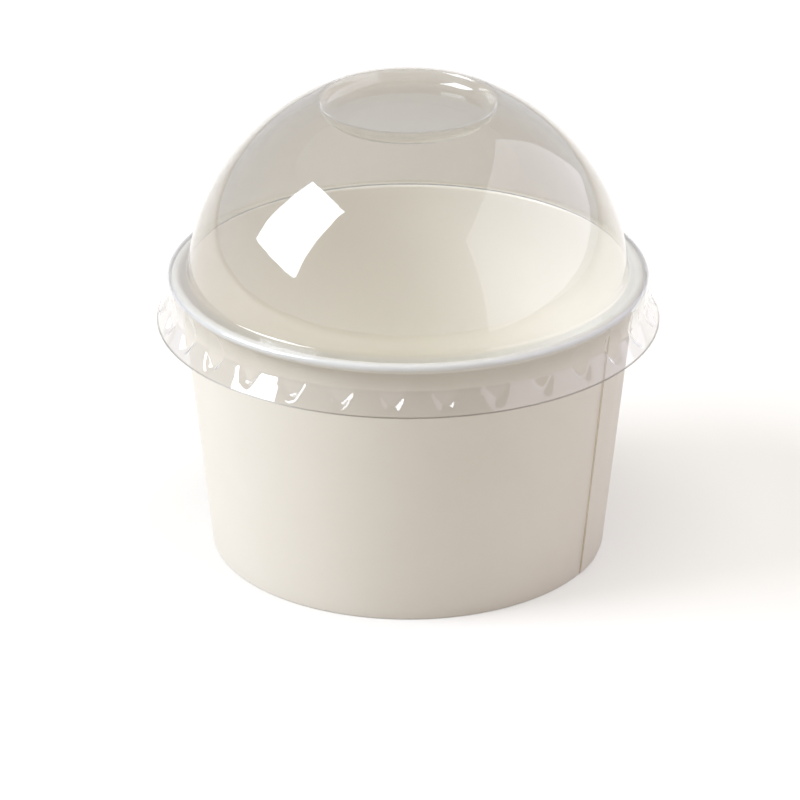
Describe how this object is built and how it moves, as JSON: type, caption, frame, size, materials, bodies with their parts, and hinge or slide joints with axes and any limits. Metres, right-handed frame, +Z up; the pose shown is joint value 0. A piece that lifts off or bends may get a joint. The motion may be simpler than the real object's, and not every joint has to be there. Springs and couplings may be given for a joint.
{
  "type": "paper baking cup with dome lid",
  "caption": "Squat white paper baking cup with a rolled rim, hemmed foot and side lap seam, closed by a clear domed lid with a sunken top and a flared, fluted skirt that lifts off.",
  "frame": {"origin": "middle of the foot ring, on the surface the cup stands on", "axes": "+Z up along the cup's axis; -Y is the front, with the lap seam to the right of it, towards +X"},
  "size_m": [0.1002, 0.1002, 0.0939],
  "materials": {
    "wall_paper": "smooth white coated board, matt to satin",
    "base_paper": "smooth white coated board, matt to satin",
    "clear_sheet": "clear glossy thermoformed sheet"
  },
  "bodies": {
    "cup": {"cup_wall": "wall_paper", "cup_base": "base_paper"},
    "lid": {"dome_lid": "clear_sheet"}
  },
  "joints": [
    {"name": "lid_lift", "type": "slide", "parent": "cup", "child": "lid", "axis": [0, 0, 1], "range_m": [0, 0.05]}
  ]
}
